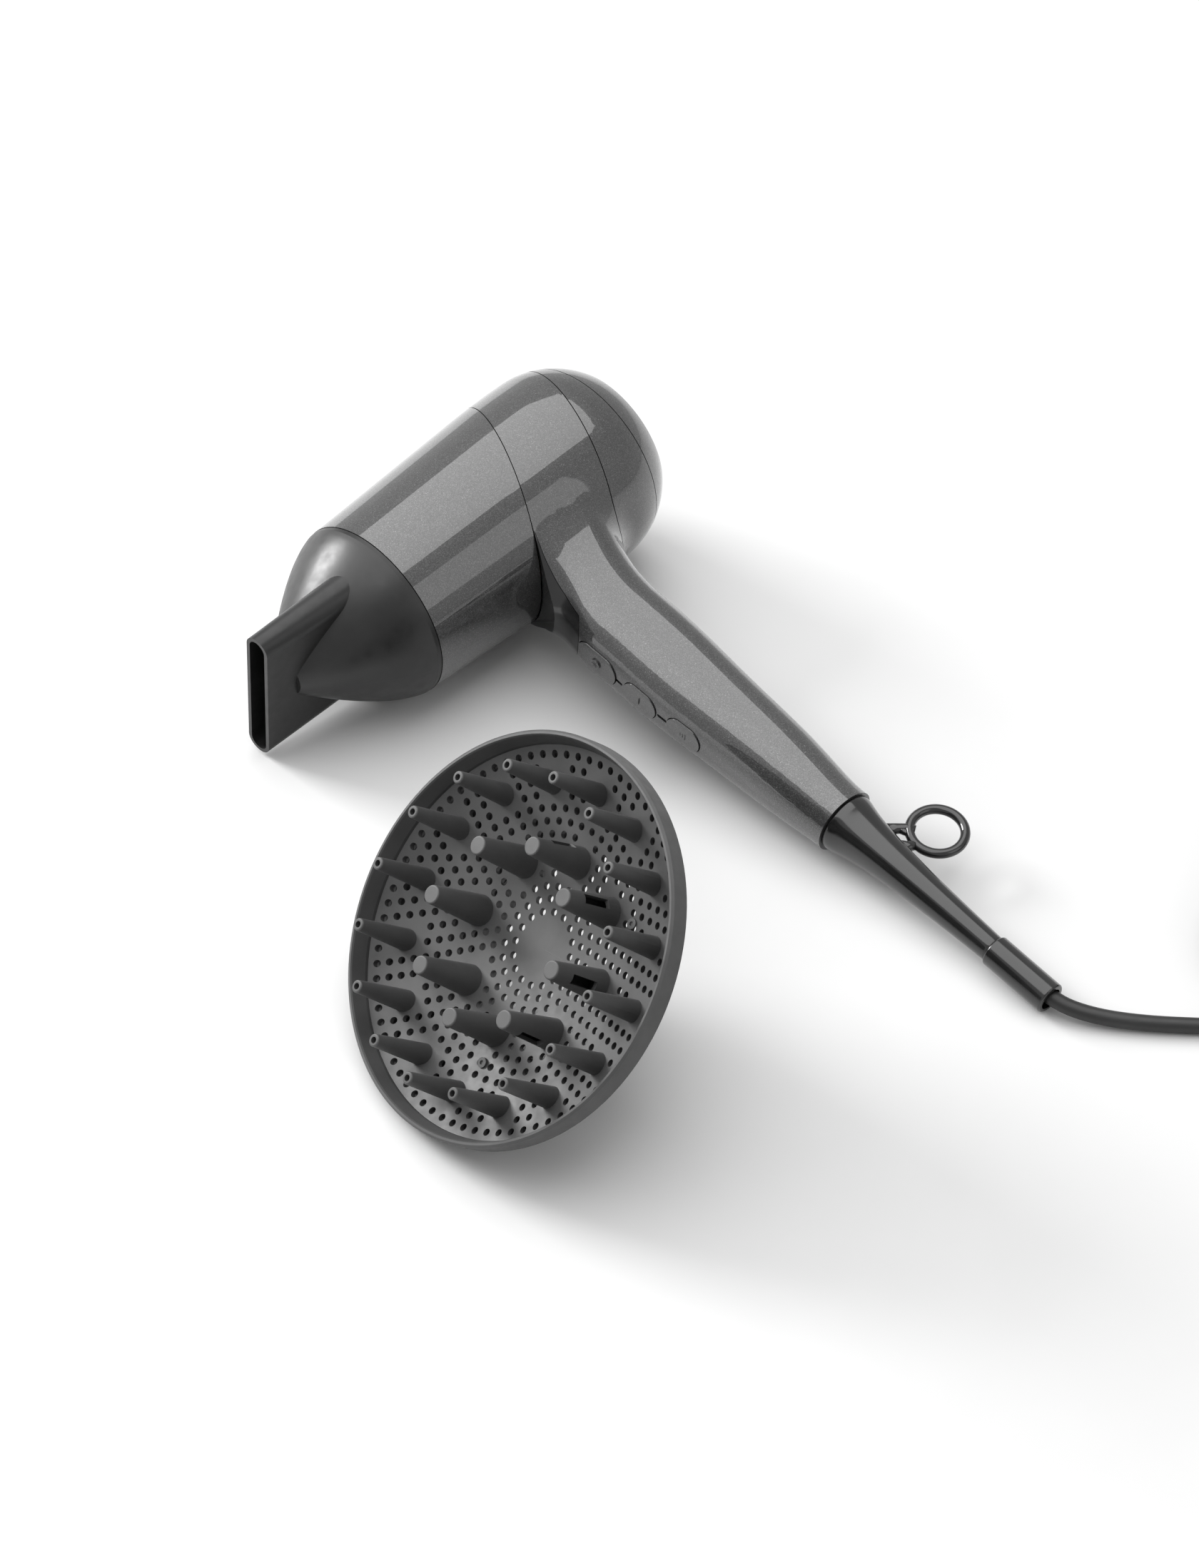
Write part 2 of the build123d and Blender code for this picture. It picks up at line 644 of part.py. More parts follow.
hole_radius, first_hole_ring, hole_ring_step, hole_ring_count = 1.35, 13.4, 4.5, 13
hole_places = [
    place
    for index in range(hole_ring_count)
    for place in around(first_hole_ring + hole_ring_step * index, 16 + 5 * index, 0.5)
    if clear_of_fingers(*place)
]
with BuildPart() as diffuser_plate:
    with BuildSketch(Plane.XZ):
        with BuildLine():
            front = ThreePointArc((0, plate_middle), (38, plate_arc(38)), (plate_rise, plate_edge))
            edge = Line(front @ 1, (plate_rise, plate_edge - plate_thickness))
            rear = ThreePointArc(
                edge @ 1, (38, plate_arc(38, plate_thickness)), (0, plate_middle - plate_thickness))
            Line(rear @ 1, (0, plate_middle))
        make_face()
    revolve(axis=Axis.Z)
    with BuildSketch(Plane.XY.offset(plate_middle - 5)):
        with Locations(*hole_places):
            Circle(hole_radius)
    extrude(amount=25, mode=Mode.SUBTRACT)
save(diffuser_plate, "diffuser_plate", diffuser_rest)

# Everything behind the plate's front face, which trims what stands on the plate.
with BuildPart() as behind_plate:
    with BuildSketch(Plane.XZ):
        with BuildLine():
            front = ThreePointArc((0, plate_middle), (38, plate_arc(38)), (plate_rise, plate_edge))
            Polyline(front @ 1, (plate_rise, -diffuser_depth), (0, -diffuser_depth), front @ 0)
        make_face()
    revolve(axis=Axis.Z)

finger_root, finger_wall = plate_middle - 2.0, 1.3
window_width, window_start, window_end = 3.6, -11.0, 0.5
for name, (count, ring_radius, base_radius, tip_radius, tip_z) in finger_rings.items():
    open_tip = count > 8
    length = tip_z - finger_root
    with BuildPart() as fingers:
        with PolarLocations(ring_radius, count):
            with Locations((0, 0, finger_root + length / 2)):
                Cone(base_radius, tip_radius, length)
        fillet(fingers.edges().group_by(Axis.Z)[-1], radius=0.6)
        with PolarLocations(ring_radius, count):
            if open_tip:
                with Locations((0, 0, tip_z)):
                    Cylinder(1.2, 16, mode=Mode.SUBTRACT)
            else:
                with Locations((0, 0, finger_root + length / 2 - 2)):
                    Cone(base_radius - finger_wall, tip_radius - finger_wall, length,
                         mode=Mode.SUBTRACT)
                with Locations((base_radius / 2 + 1, 0, (window_start + window_end) / 2)):
                    Box(base_radius + 2, window_width, window_end - window_start,
                        mode=Mode.SUBTRACT)
        add(behind_plate.part, mode=Mode.SUBTRACT)
    save(fingers, name, diffuser_rest)

with BuildPart() as diffuser_screws:
    with PolarLocations(44.6, 3, 33.75):
        with Locations((0, 0, plate_arc(44.6) + 0.2)):
            Cylinder(1.9, 1.6)
            with Locations((0, 0, 0.8)):
                Cylinder(0.8, 1.0, mode=Mode.SUBTRACT)
    add(behind_plate.part, mode=Mode.SUBTRACT)
save(diffuser_screws, "diffuser_screws", diffuser_rest)

# ---- Mains cord, coil and plug, drawn where they lie on the table -----------------------
cord_start = dryer_rest * boot_plane.location * Location((boot_length, 0, 0))
cord_points = [
    tuple(cord_start.position),
    (169.0, 61.4, 6.4),
    (182.1, 66.6, 4.6),
    (197.1, 77.4, 3.3),
    (215.6, 93.5, 3.05),
    (232.6, 109.0, 3.05),
    (250.1, 125.9, 3.05),
]
coil_x, coil_y = 221.3, 155.8


def corner_radii(points):
    """Radius of each corner's arc: as large as its two runs allow."""
    spots = [Vector(*point) for point in points]
    radii = []
    for before, corner, after in zip(spots, spots[1:], spots[2:]):
        arrive, leave = corner - before, after - corner
        half_turn = radians(arrive.get_angle(leave)) / 2
        radii.append(0.45 * min(arrive.length, leave.length) / tan(half_turn))
    return radii


cord_corners = corner_radii(cord_points)
print("cord corner radii", [round(radius, 1) for radius in cord_corners])
with BuildPart() as mains_cord:
    with BuildLine():
        cord_path = FilletPolyline(*cord_points, radius=cord_corners)
    with BuildSketch(Plane(origin=cord_path @ 0, z_dir=cord_path % 0)):
        Circle(cord_radius)
    sweep()
section_volume = pi * cord_radius ** 2 * cord_path.length
print("cord length", round(cord_path.length, 1),
      "volume ratio", round(mains_cord.part.volume / section_volume, 4))
save(mains_cord, "mains_cord", as_drawn)

with BuildPart() as cord_coil:
    with BuildSketch():
        with Locations((coil_x, coil_y)):
            Circle(coil_outer)
            Circle(coil_inner, mode=Mode.SUBTRACT)
    extrude(amount=coil_height)
    fillet(cord_coil.edges(), radius=2.5)
save(cord_coil, "cord_coil", as_drawn)

plug_length, plug_width, plug_height = 38.0, 35.0, 22.0
innermost_turn = coil_inner + cord_radius
plug_plane = Plane(
    origin=(coil_x, coil_y + innermost_turn, coil_height + plug_height / 2 + 0.1),
    x_dir=(0, -1, 0), z_dir=(-1, 0, 0))
with BuildPart() as plug_body:
    with BuildSketch(plug_plane):
        Circle(4.5)
    with BuildSketch(plug_plane.offset(14)):
        RectangleRounded(24, 16, 6)
    with BuildSketch(plug_plane.offset(24)):
        RectangleRounded(plug_width, plug_height, 9)
    with BuildSketch(plug_plane.offset(plug_length)):
        RectangleRounded(plug_width, plug_height, 9)
    loft(ruled=True)
save(plug_body, "plug_body", as_drawn)

with BuildPart() as plug_pins:
    with BuildSketch(plug_plane.offset(plug_length)):
        with Locations((-pin_pitch / 2, 0), (pin_pitch / 2, 0)):
            Circle(pin_radius)
    extrude(amount=pin_length)
    fillet(plug_pins.edges().group_by(Axis.X)[0], radius=1.0)
save(plug_pins, "plug_pins", as_drawn)
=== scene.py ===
import json
from math import cos, pi, radians, sin

import bmesh
import bpy
from mathutils import Matrix, Vector


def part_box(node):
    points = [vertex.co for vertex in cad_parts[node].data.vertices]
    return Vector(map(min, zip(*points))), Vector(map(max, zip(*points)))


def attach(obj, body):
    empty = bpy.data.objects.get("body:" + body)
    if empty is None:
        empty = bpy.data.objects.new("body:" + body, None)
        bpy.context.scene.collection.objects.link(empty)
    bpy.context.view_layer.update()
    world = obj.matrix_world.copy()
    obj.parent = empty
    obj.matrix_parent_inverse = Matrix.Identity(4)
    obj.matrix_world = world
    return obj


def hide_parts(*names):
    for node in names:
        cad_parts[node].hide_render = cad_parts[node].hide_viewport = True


# A hair dryer lying on its side with its nozzle fitted, and its diffuser standing beside it.
# Metres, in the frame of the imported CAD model. Z is up and the table is Z = 0.

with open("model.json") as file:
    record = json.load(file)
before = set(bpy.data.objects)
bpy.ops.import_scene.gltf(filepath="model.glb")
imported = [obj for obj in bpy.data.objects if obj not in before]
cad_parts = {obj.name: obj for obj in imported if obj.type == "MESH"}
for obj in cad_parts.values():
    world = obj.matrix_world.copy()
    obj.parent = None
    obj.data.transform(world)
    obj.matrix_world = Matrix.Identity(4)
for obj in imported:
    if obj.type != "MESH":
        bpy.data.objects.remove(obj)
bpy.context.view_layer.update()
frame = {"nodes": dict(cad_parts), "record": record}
nodes = frame["nodes"]
mm = 0.001


# ---- Frame of the dryer -----------------------------------------------------------------
def joint(name):
    """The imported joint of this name."""
    return next(j for j in frame["record"]["behaviour"]["joints"] if j["name"] == name)


def mount(name):
    """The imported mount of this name."""
    return next(m for m in frame["record"]["mounts"] if m["name"] == name)


def axes_matrix(x_axis, y_axis, z_axis, origin):
    """Matrix whose columns are three axes and an origin."""
    columns = Matrix((x_axis, y_axis, z_axis)).transposed().to_4x4()
    columns.translation = origin
    return columns


# Dryer: X down the handle, Y rearward along the air path, Z to the left side, origin at the outlet.
dryer_y = -Vector(joint("nozzle_turn")["axis"]).normalized()
dryer_z = Vector(mount("hanging_loop_bore")["axis"]).normalized()
dryer = axes_matrix(dryer_y.cross(dryer_z), dryer_y, dryer_z, Vector(joint("nozzle_turn")["pos_m"]))


# ---- Camera -----------------------------------------------------------------------------
image_height = 2197
focal_pixels = 6390.75
sensor = 36.0
camera_azimuth, camera_elevation = radians(44.105), radians(45.431)
camera_distance = 1.714642
camera_target = Vector((-0.02724, 0.03130, 0.0))

camera_data = bpy.data.cameras.new("camera")
camera_data.sensor_width = sensor
camera_data.lens = focal_pixels / image_height * sensor
camera = bpy.data.objects.new("camera", camera_data)
bpy.context.scene.collection.objects.link(camera)
back = Vector((
    sin(camera_azimuth) * cos(camera_elevation),
    -cos(camera_azimuth) * cos(camera_elevation),
    sin(camera_elevation),
))
camera.location = camera_target + back * camera_distance
camera.rotation_euler = (-back).to_track_quat("-Z", "Y").to_euler()
bpy.context.scene.camera = camera


# ---- Materials --------------------------------------------------------------------------
class Surface:
    """A Principled material with short calls for the nodes that drive it."""

    def __init__(self, name, **values):
        self.material = bpy.data.materials.new(name)
        self.material.use_nodes = True
        self.tree = self.material.node_tree
        self.shader = self.tree.nodes["Principled BSDF"]
        for socket, value in values.items():
            self.shader.inputs[socket.replace("_", " ")].default_value = value
        self.place = self.tree.nodes.new("ShaderNodeTexCoord").outputs["Object"]

    def noise(self, scale, detail=2.0, roughness=0.5, stretch=None):
        """Noise of so many cells per metre."""
        node = self.tree.nodes.new("ShaderNodeTexNoise")
        node.inputs["Scale"].default_value = scale
        node.inputs["Detail"].default_value = detail
        node.inputs["Roughness"].default_value = roughness
        self.tree.links.new(self.stretched(stretch), node.inputs["Vector"])
        return node.outputs["Fac"]

    def cells(self, scale, output="Color"):
        """Voronoi cells of so many per metre."""
        node = self.tree.nodes.new("ShaderNodeTexVoronoi")
        node.inputs["Scale"].default_value = scale
        self.tree.links.new(self.place, node.inputs["Vector"])
        return node.outputs[output]

    def stretched(self, stretch):
        """Object coordinates, scaled along each axis."""
        if stretch is None:
            return self.place
        node = self.tree.nodes.new("ShaderNodeMapping")
        node.inputs["Scale"].default_value = stretch
        self.tree.links.new(self.place, node.inputs["Vector"])
        return node.outputs["Vector"]

    def ramp(self, source, *stops):
        """Colour ramp through (position, value or colour) stops."""
        node = self.tree.nodes.new("ShaderNodeValToRGB")
        while len(node.color_ramp.elements) < len(stops):
            node.color_ramp.elements.new(0.5)
        for element, (position, shade) in zip(node.color_ramp.elements, stops):
            colour = shade if hasattr(shade, "__len__") else (shade, shade, shade)
            element.position = position
            element.color = (*colour, 1.0)
        self.tree.links.new(source, node.inputs["Fac"])
        return node.outputs["Color"]

    def drive(self, socket, source):
        """Links a pattern to one of the shader's sockets."""
        self.tree.links.new(source, self.shader.inputs[socket])

    def bump(self, source, depth, strength=1.0):
        """Relief of a depth in metres, over any relief that is already there."""
        node = self.tree.nodes.new("ShaderNodeBump")
        node.inputs["Distance"].default_value = depth
        node.inputs["Strength"].default_value = strength
        self.tree.links.new(source, node.inputs["Height"])
        normal = self.shader.inputs["Normal"]
        if normal.links:
            self.tree.links.new(normal.links[0].from_socket, node.inputs["Normal"])
        self.tree.links.new(node.outputs["Normal"], normal)


def graphite_lacquer():
    """Dark metallic flake under a clear gloss coat."""
    s = Surface("graphite_lacquer", Metallic=0.6, Roughness=0.4, Coat_Weight=1.0,
                Coat_Roughness=0.03, Coat_IOR=1.7)
    flakes = s.cells(4200.0)
    s.drive("Base Color", s.ramp(flakes, (0.0, 0.022), (0.5, 0.04), (0.85, 0.085), (1.0, 0.2)))
    s.drive("Roughness", s.ramp(s.noise(1700.0), (0.3, 0.34), (0.7, 0.48)))
    s.bump(flakes, 0.000008, 0.4)
    return s.material


def moulded(name, low, high, rough_low, rough_high, grain=1500.0, depth=0.00001, **values):
    """Moulded plastic: slight mottling, uneven sheen and a fine spark-eroded grain."""
    s = Surface(name, **values)
    s.drive("Base Color", s.ramp(s.noise(60.0, 4.0), (0.3, low), (0.7, high)))
    s.drive("Roughness", s.ramp(s.noise(220.0, 3.0), (0.3, rough_low), (0.7, rough_high)))
    s.bump(s.noise(grain, 2.0, 0.6), depth, 0.6)
    return s.material


def mica():
    """Layered mica board with silvery flecks."""
    s = Surface("mica", Roughness=0.45, Sheen_Weight=0.2)
    s.drive("Base Color", s.ramp(s.noise(140.0, 6.0), (0.3, (0.42, 0.34, 0.22)), (0.7, (0.72, 0.66, 0.5))))
    s.bump(s.cells(500.0, "Distance"), 0.00003)
    return s.material


def brushed(name, low, high, roughness, stretch):
    """Metal with fine drawn lines along one axis."""
    s = Surface(name, Metallic=1.0)
    lines = s.noise(900.0, 3.0, 0.6, stretch)
    s.drive("Base Color", s.ramp(lines, (0.3, low), (0.7, high)))
    s.drive("Roughness", s.ramp(lines, (0.3, roughness - 0.08), (0.7, roughness + 0.1)))
    s.bump(lines, 0.000004)
    return s.material


def circuit_green():
    """Solder mask over copper traces."""
    s = Surface("circuit_green", Roughness=0.32, Coat_Weight=0.5)
    traces = s.cells(260.0, "Distance")
    s.drive("Base Color", s.ramp(traces, (0.35, (0.012, 0.1, 0.04)), (0.6, (0.03, 0.24, 0.1))))
    s.bump(traces, 0.00003)
    return s.material


def wire_sheath():
    """Red silicone sheath."""
    s = Surface("wire_sheath", Roughness=0.5)
    s.drive("Base Color", s.ramp(s.noise(120.0, 3.0), (0.3, (0.33, 0.02, 0.015)), (0.7, (0.45, 0.04, 0.03))))
    s.bump(s.noise(1200.0), 0.00001)
    return s.material


materials = {
    "graphite_lacquer": graphite_lacquer(),
    "satin_black": moulded("satin_black", 0.007, 0.013, 0.32, 0.42),
    "gloss_black": moulded("gloss_black", 0.006, 0.011, 0.13, 0.2, 700.0, 0.000004, Coat_Weight=0.4,
                           Coat_Roughness=0.08),
    "diffuser_grey": moulded("diffuser_grey", 0.045, 0.058, 0.46, 0.58, 1800.0, 0.000015),
    "cord_black": moulded("cord_black", 0.010, 0.018, 0.38, 0.5, 1400.0, 0.00001),
    "mica": mica(),
    "heater_wire": brushed("heater_wire", 0.35, 0.5, 0.35, (1, 1, 1)),
    "steel": brushed("steel", 0.5, 0.62, 0.25, (1, 0.05, 1)),
    "circuit_green": circuit_green(),
    "soft_rubber": moulded("soft_rubber", 0.014, 0.024, 0.6, 0.75),
    "inner_plastic": moulded("inner_plastic", 0.05, 0.07, 0.45, 0.6),
    "wire_sheath": wire_sheath(),
}


def finish_piece(piece, body, slot, *replaced):
    """Gives a new piece its material, its body and the CAD nodes that it stands for."""
    if piece.name not in bpy.context.scene.collection.objects:
        bpy.context.scene.collection.objects.link(piece)
    piece.data.materials.clear()
    piece.data.materials.append(materials[slot])
    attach(piece, body)
    if replaced:
        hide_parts(*replaced)
    return piece


for subpart in frame["record"]["subparts"]:
    node = nodes.get(subpart["node"])
    if node is not None:
        node.data.materials.clear()
        node.data.materials.append(materials[subpart["material_slot"]])


# ---- Mains cord and plug ----------------------------------------------------------------
cord_radius = 3.0 * mm
cord_route = [Vector(point) for point in (
    (0.15464, 0.06215, 0.00800),
    (0.1690, 0.0614, 0.0064),
    (0.1821, 0.0666, 0.0046),
    (0.1971, 0.0774, 0.0033),
    (0.2156, 0.0935, 0.00305),
    (0.2326, 0.1090, 0.00305),
    (0.2501, 0.1259, 0.00305),
)]
coil_low, coil_high = (Vector(corner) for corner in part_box("cord_coil"))
coil_centre = (coil_low + coil_high) / 2
points_per_turn = 16
coil_entry = radians(-46.0)
outer_turn = 41.5 * mm          # radius of the largest turn, at the cord's middle
first_layer = 3.05 * mm         # height of the lowest turn, at the cord's middle
cord_pitch = 6.0 * mm
# Slots of the winding: steps in from the largest turn, and layers up. Each turn starts in one
# slot and passes to the next between two shares of a turn, so it never meets those beside it.
slots = [(0, 0), (1, 0), (2, 0), (2, 1), (1, 1), (0, 1), (0, 2), (1, 2), (2, 2)]
passes = [(0.85, 1.0), (0.85, 1.0), (0.6, 0.8), (0.4, 0.6), (0.4, 0.6), (0.2, 0.4), (0.0, 0.2),
          (0.0, 0.2)]
last_turn_share = 0.378         # the last turn ends where it heads along the plug
rise_share = 0.25               # and climbs into the plug over this share of a turn

plug_low, plug_high = (Vector(corner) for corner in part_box("plug_body"))
plug_entry = Vector((plug_high.x, (plug_low.y + plug_high.y) / 2, (plug_low.z + plug_high.z) / 2))


def smooth(share):
    """Share from 0 to 1 that starts and stops gently."""
    share = min(1.0, max(0.0, share))
    return share * share * (3 - 2 * share)


def winding_place(turn, share):
    """Radius and height of the cord's middle at a share of a turn."""
    start, end = passes[turn]
    passed = smooth((share - start) / (end - start))
    (step_in, layer), (next_in, next_layer) = slots[turn], slots[turn + 1]
    radius = outer_turn - cord_pitch * (step_in + (next_in - step_in) * passed)
    height = first_layer + cord_pitch * (layer + (next_layer - layer) * passed)
    return radius, height


def coil_points():
    """Turns of the coil, wound inward, outward and inward again in three layers."""
    points = []
    count = round((len(passes) - 1 + last_turn_share) * points_per_turn)
    for index in range(1, count + 1):
        turn, step = divmod(index, points_per_turn)
        radius, height = winding_place(turn, step / points_per_turn)
        left = (count - index) / points_per_turn
        height += (plug_entry.z - height) * smooth(1 - left / rise_share)
        angle = coil_entry + 2 * pi * index / points_per_turn
        control_radius = radius / cos(pi / points_per_turn)
        points.append(Vector((coil_centre.x + control_radius * cos(angle),
                              coil_centre.y + control_radius * sin(angle), height)))
    return points


def curve_piece(name, points, radius):
    """Round cord along one smooth open spline with these control points."""
    data = bpy.data.curves.new(name, "CURVE")
    data.dimensions = "3D"
    data.bevel_depth = radius
    data.bevel_resolution = 6
    data.use_fill_caps = True
    spline = data.splines.new("NURBS")
    spline.points.add(len(points) - 1)
    for place, point in zip(spline.points, points):
        place.co = (*point, 1.0)
    spline.order_u = 3
    spline.use_endpoint_u = True
    spline.resolution_u = 8
    return bpy.data.objects.new(name, data)


plug_bite = Vector((-5.0 * mm, 0, 0))     # the cord goes on this far into the plug
cord = curve_piece("mains_lead", cord_route + coil_points() + [plug_entry, plug_entry + plug_bite],
                   cord_radius)
finish_piece(cord, "casing", "cord_black", "mains_cord", "cord_coil")


def join_rings(mesh, rings, closed=False):
    """Skin through rings of equal point counts, its two ends capped or joined to each other."""
    loops = [[mesh.verts.new(point) for point in ring] for ring in rings]
    pairs = list(zip(loops, loops[1:]))
    if closed:
        pairs.append((loops[-1], loops[0]))
    for lower, upper in pairs:
        for index in range(len(lower)):
            after = (index + 1) % len(lower)
            mesh.faces.new((lower[index], lower[after], upper[after], upper[index]))
    if not closed:
        mesh.faces.new(list(reversed(loops[0])))
        mesh.faces.new(loops[-1])


def mesh_piece(name, mesh, rounded=True):
    """Piece made from a finished mesh, with smooth shading where it is rounded."""
    bmesh.ops.recalc_face_normals(mesh, faces=mesh.faces)
    data = bpy.data.meshes.new(name)
    mesh.to_mesh(data)
    mesh.free()
    for face in data.polygons:
        face.use_smooth = rounded
    return bpy.data.objects.new(name, data)


def lofted(name, rings, levels):
    """Closed skin through rings of equal point counts, smoothed by so many subdivisions."""
    mesh = bmesh.new()
    join_rings(mesh, rings)
    piece = mesh_piece(name, mesh)
    subdivision = piece.modifiers.new("round", "SUBSURF")
    subdivision.levels = subdivision.render_levels = levels
    return piece


def power_of(value, exponent):
    """Power of a value's size, with the value's own sign."""
    return abs(value) ** exponent * (1 if value >= 0 else -1)


def superellipse(place, across, up, half_width, half_height, squareness, count=24):
    """Ring of points around a place: a squareness of 2 is an ellipse, and more is squarer."""
    ring = []
    for index in range(count):
        angle = 2 * pi * index / count
        x = half_width * power_of(cos(angle), 2 / squareness)
        y = half_height * power_of(sin(angle), 2 / squareness)
        ring.append(place + across * x + up * y)
    return ring


# Plug: distance from the cord's entry, half width, half height and squareness of each section.
plug_sections = [
    (0.0, 4.2, 4.2, 2.0), (0.6, 4.4, 4.4, 2.0), (5.0, 4.9, 4.7, 2.0), (9.0, 6.4, 5.6, 2.1),
    (14.0, 11.6, 7.8, 2.4), (20.0, 16.2, 10.3, 2.8), (25.0, 17.3, 10.9, 3.2), (33.0, 17.4, 10.9, 3.4),
    (37.0, 17.2, 10.7, 3.4), (37.8, 16.8, 10.3, 3.2), (38.0, 16.0, 9.6, 3.0),
]
plug = lofted("plug_moulding", [
    superellipse(plug_entry + Vector((-reach * mm, 0, 0)), Vector((0, 1, 0)), Vector((0, 0, 1)),
                 width * mm, height * mm, squareness)
    for reach, width, height, squareness in plug_sections], 2)
finish_piece(plug, "casing", "cord_black", "plug_body")


# ---- Cord boot --------------------------------------------------------------------------
boot_tilt = radians(3.4)
boot_along = (dryer.to_3x3() @ Vector((cos(boot_tilt), -sin(boot_tilt), 0))).normalized()
boot_across = (dryer.to_3x3() @ Vector((sin(boot_tilt), cos(boot_tilt), 0))).normalized()
boot_up = boot_along.cross(boot_across)
handle_end = Vector((192.0, 54.0, 0.0))     # millimetres, in the dryer's own frame
boot_start = dryer @ (handle_end * mm)
# Distance from the handle's end and radius of each section, and how far its four sides go in.
boot_sections = [
    (0.1, 11.3, 0.0), (0.2, 11.9, 0.0), (1.2, 12.0, 0.0), (3.0, 11.8, 0.01), (5.0, 11.3, 0.04),
    (9.0, 10.3, 0.06), (15.0, 9.3, 0.06), (22.0, 8.4, 0.05), (30.0, 7.7, 0.04), (42.0, 6.8, 0.02),
    (58.0, 5.9, 0.0), (70.0, 5.4, 0.0), (76.7, 5.2, 0.0), (77.0, 5.0, 0.0), (77.2, 4.35, 0.0),
    (91.8, 4.3, 0.0), (92.0, 4.1, 0.0),
]
boot_count = 48


def boot_ring(reach, radius, flat):
    """Ring around the boot's axis whose four sides are pressed in by a share of the radius."""
    ring = []
    for index in range(boot_count):
        angle = 2 * pi * index / boot_count
        size = radius * (1 - flat * (0.5 + 0.5 * cos(4 * angle))) * mm
        ring.append(boot_start + boot_along * reach * mm + boot_across * size * cos(angle)
                    + boot_up * size * sin(angle))
    return ring


boot = lofted("boot_moulding", [boot_ring(*section) for section in boot_sections], 1)
finish_piece(boot, "casing", "gloss_black", "cord_boot")


# ---- Hanging loop -----------------------------------------------------------------------
# Millimetres, in the dryer's own frame.
loop_centre = Vector((219.0, 75.2, 0.0))
loop_radius = 10.3
wire_radius = 1.9
loop_steps = 64
wire_steps = 16
# Webs between the boot and the ring: X, Y and half width of each place, leaving a small window.
loop_webs = [
    [(205.5, 62.0, 3.0), (207.6, 65.2, 2.2), (210.0, 68.0, 1.8), (213.0, 69.6, 2.0)],
    [(213.5, 59.5, 3.0), (216.0, 62.0, 2.2), (217.6, 64.6, 1.9)],
    [(208.0, 65.4, 1.4), (212.0, 66.6, 1.4), (216.6, 64.6, 1.4)],
]
web_height = 0.95 * wire_radius


def wire_section(place, outward, half_width, half_height):
    """Oval ring of points around a place in the dryer's frame, wide along outward."""
    ring = []
    for step in range(wire_steps):
        angle = 2 * pi * step / wire_steps
        rise = Vector((0, 0, half_height * sin(angle)))
        ring.append(dryer @ ((place + outward * half_width * cos(angle) + rise) * mm))
    return ring


def ring_sections():
    """Sections all around the ring."""
    turns = [2 * pi * step / loop_steps for step in range(loop_steps)]
    spokes = [Vector((cos(turn), sin(turn), 0)) for turn in turns]
    return [wire_section(loop_centre + spoke * loop_radius, spoke, wire_radius, wire_radius)
            for spoke in spokes]


def web_sections(web):
    """Sections along one web, each square to the way the web runs there."""
    places = [Vector((x, y, 0)) for x, y, _ in web]
    sections = []
    for index, (_, _, width) in enumerate(web):
        before = places[max(0, index - 1)]
        after = places[min(len(web) - 1, index + 1)]
        along = (after - before).normalized()
        outward = Vector((-along.y, along.x, 0))
        sections.append(wire_section(places[index], outward, width, min(width, web_height)))
    return sections


loop_mesh = bmesh.new()
join_rings(loop_mesh, ring_sections(), closed=True)
for web in loop_webs:
    join_rings(loop_mesh, web_sections(web))
loop = mesh_piece("loop_moulding", loop_mesh)
finish_piece(loop, "casing", "gloss_black", "hanging_loop")


# ---- Button marks -----------------------------------------------------------------------
# Millimetres: thickness of a stroke, half of it sunk in the button, and its width.
mark_relief = 0.16
mark_width = 0.35
front_half_length = 8.0 * mm
front_half_width = 4.0 * mm


def button_front(name):
    """Middle of a button's front face, in the dryer's own frame."""
    to_dryer = dryer.inverted()
    places = [to_dryer @ vertex.co for vertex in nodes[name].data.vertices]
    centre = (min(p.x for p in places) + max(p.x for p in places)) / 2
    front = min(p.y for p in places
                if abs(p.x - centre) < front_half_length and abs(p.z) < front_half_width)
    return Vector((centre, front, 0))


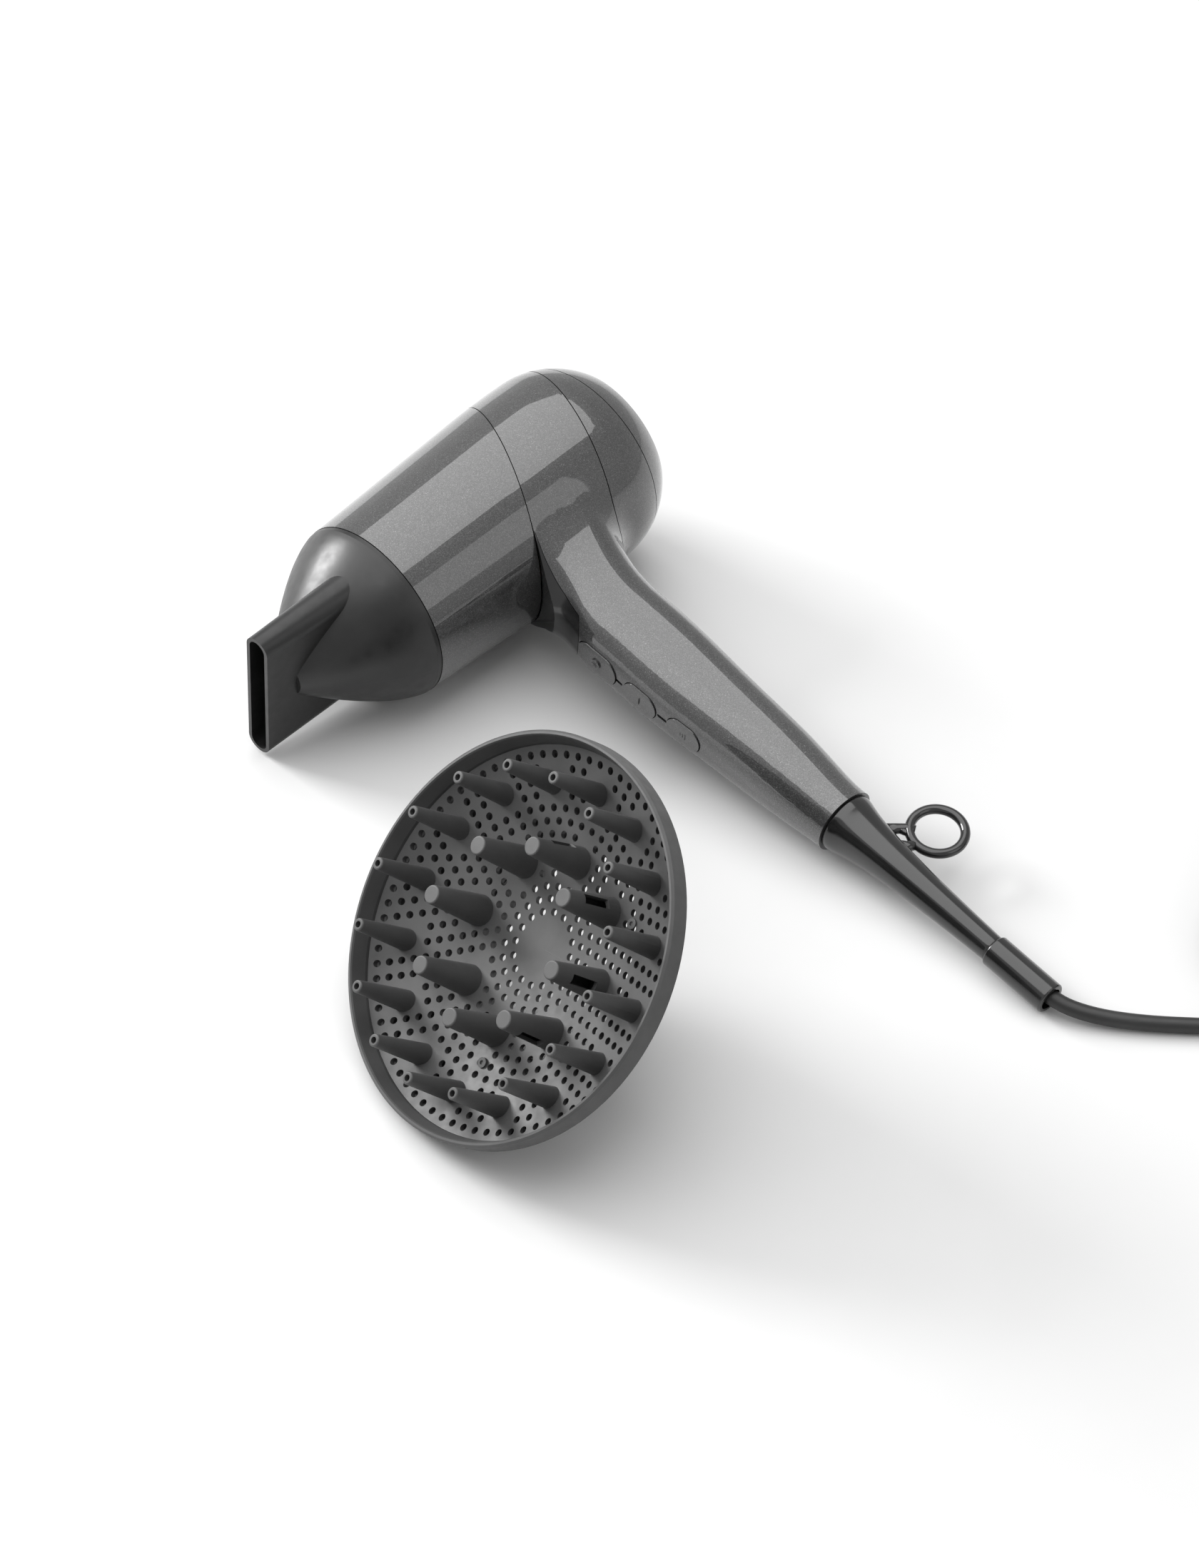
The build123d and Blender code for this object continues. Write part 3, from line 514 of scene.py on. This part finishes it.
def button_mark(name, body, strokes):
    """Thin raised strokes on a button: a length, a turn in degrees and a shift down the handle."""
    front = button_front(name)
    mesh = bmesh.new()
    for length, turn, shift in strokes:
        turned = Matrix.Rotation(radians(-turn), 4, "Y")
        for vertex in bmesh.ops.create_cube(mesh, size=1.0)["verts"]:
            size = Vector((length, mark_relief, mark_width))
            stroke = turned @ (vertex.co * size) + Vector((shift, 0, 0))
            vertex.co = dryer @ (front + stroke * mm)
    return finish_piece(mesh_piece(name + "_mark", mesh, rounded=False), body, "inner_plastic")


button_mark("cool_shot_button", "cool_shot", [(3.0, turn, 0) for turn in (0, 60, 120)])
button_mark("heat_button", "heat", [(3.2, 90, 0)])
button_mark("speed_button", "speed",
            [(1.2 + 0.8 * index, 90, 1.2 * index - 1.2) for index in range(3)])


# ---- Floor and light --------------------------------------------------------------------
def floor_material():
    """Pale seamless paper."""
    s = Surface("floor", Roughness=0.9)
    s.drive("Base Color", s.ramp(s.noise(12.0, 5.0), (0.3, 0.59), (0.7, 0.61)))
    return s.material


floor_size = 12.0
bpy.ops.mesh.primitive_plane_add(size=floor_size)
floor = bpy.context.object
floor.name = "floor"
floor.data.materials.append(floor_material())


def soft_light(name, place, target, size, power):
    """Square softbox at a place, facing a target."""
    data = bpy.data.lights.new(name, "AREA")
    data.shape = "SQUARE"
    data.size = size
    data.energy = power
    light = bpy.data.objects.new(name, data)
    light.location = place
    light.rotation_euler = (target - place).to_track_quat("-Z", "Y").to_euler()
    bpy.context.scene.collection.objects.link(light)


view_right = Vector((cos(camera_azimuth), sin(camera_azimuth), 0))
view_away = Vector((-sin(camera_azimuth), cos(camera_azimuth), 0))
up = Vector((0, 0, 1))
middle = Vector((0, 0, 0.05))
# Each light: metres to the camera's right, away from it and up, the softbox's size and its watts.
lights = [
    ("key", -1.7, 0.95, 0.95, 0.8, 52.0),
    ("overhead", -0.35, 0.3, 1.9, 2.7, 48.0),
    ("fill", 1.6, -0.9, 1.2, 1.2, 4.0),
]
for name, right, away, height, size, power in lights:
    place = view_right * right + view_away * away + up * height
    soft_light(name, place, middle, size, power)

sky_strength = 0.6
world = bpy.data.worlds.new("studio")
world.use_nodes = True
sky = world.node_tree.nodes["Background"]
sky.inputs["Color"].default_value = (1, 1, 1, 1)
sky.inputs["Strength"].default_value = sky_strength
bpy.context.scene.world = world
bpy.context.scene.view_settings.view_transform = "Standard"
